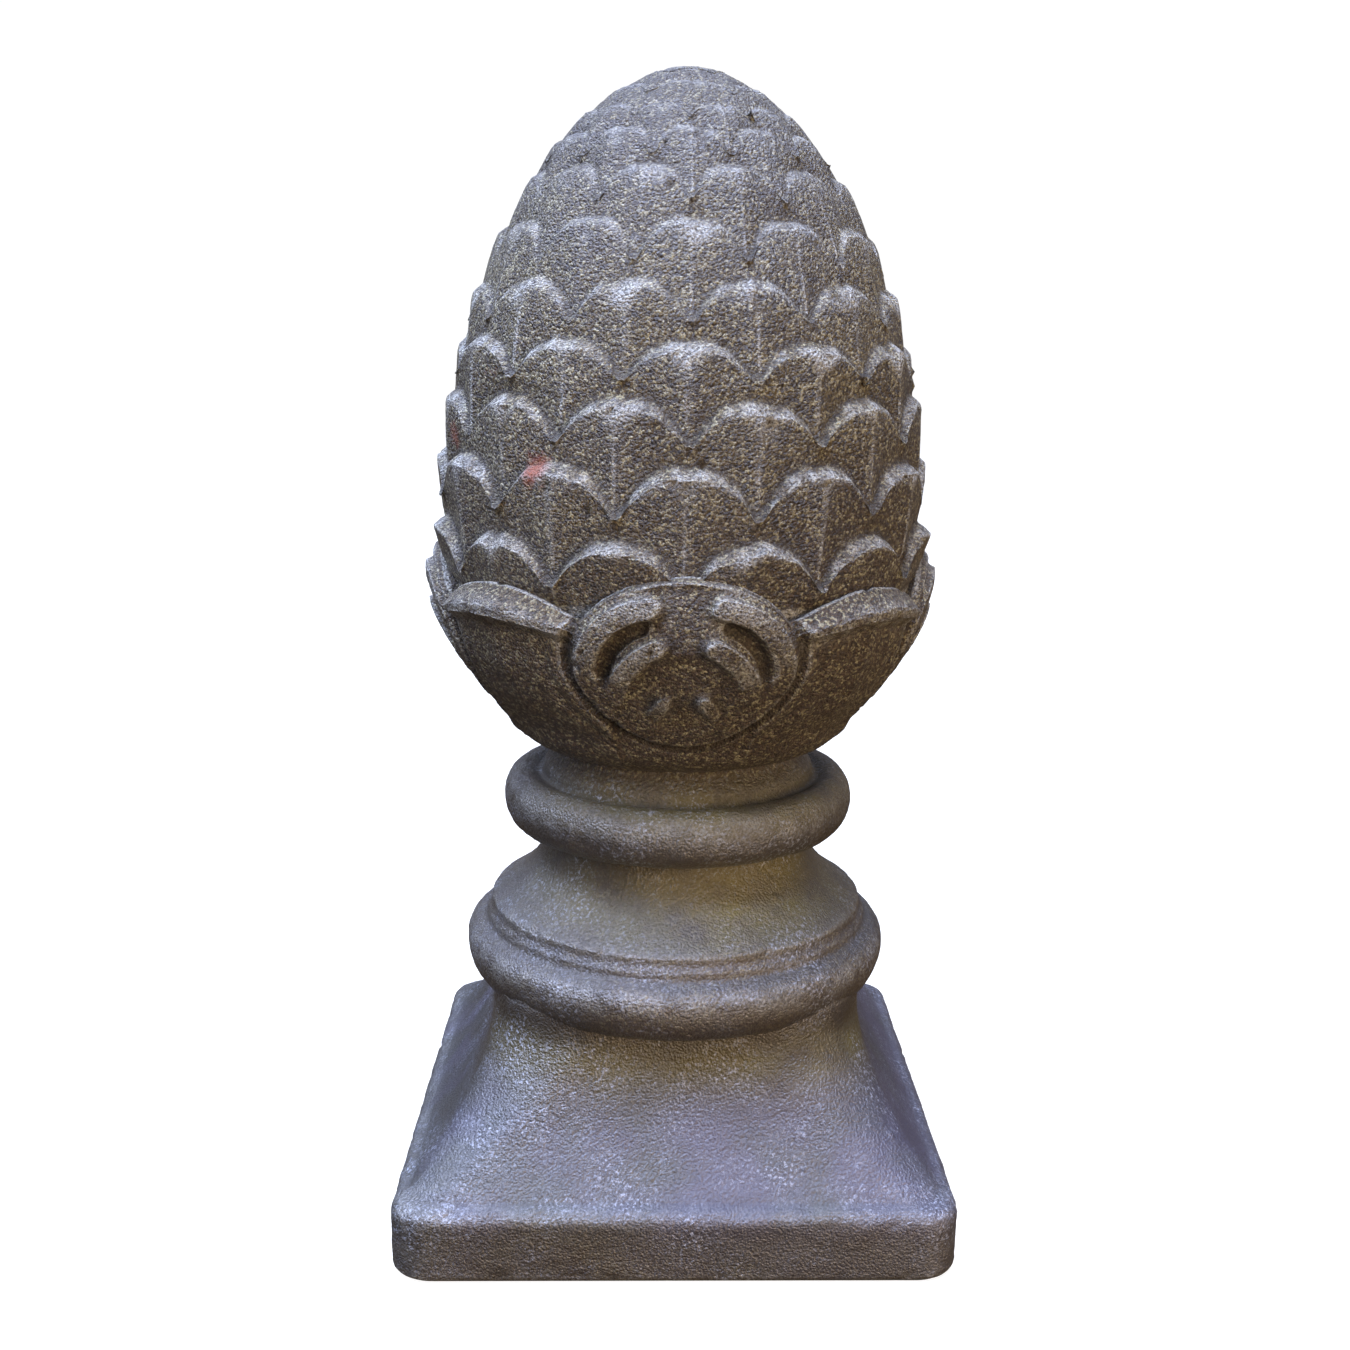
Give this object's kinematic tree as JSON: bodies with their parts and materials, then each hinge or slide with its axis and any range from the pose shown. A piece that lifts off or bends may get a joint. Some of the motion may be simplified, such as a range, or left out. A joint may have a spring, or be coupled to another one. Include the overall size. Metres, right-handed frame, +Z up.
{
  "type": "pinecone finial",
  "caption": "Cast stone pinecone finial on a square base, for the top of a gate pier, wall or post.",
  "frame": {"origin": "centre of the flat underside of the square base", "axes": "+Z up along the finial's axis, the front medallion towards -Y, +X to the right seen from the front"},
  "size_m": [0.242, 0.242, 0.5007],
  "materials": {
    "cast_stone": "sand-textured cast stone with a slight sheen, darkened by weather"
  },
  "bodies": {
    "root": {"pinecone_finial": "cast_stone"}
  },
  "joints": []
}
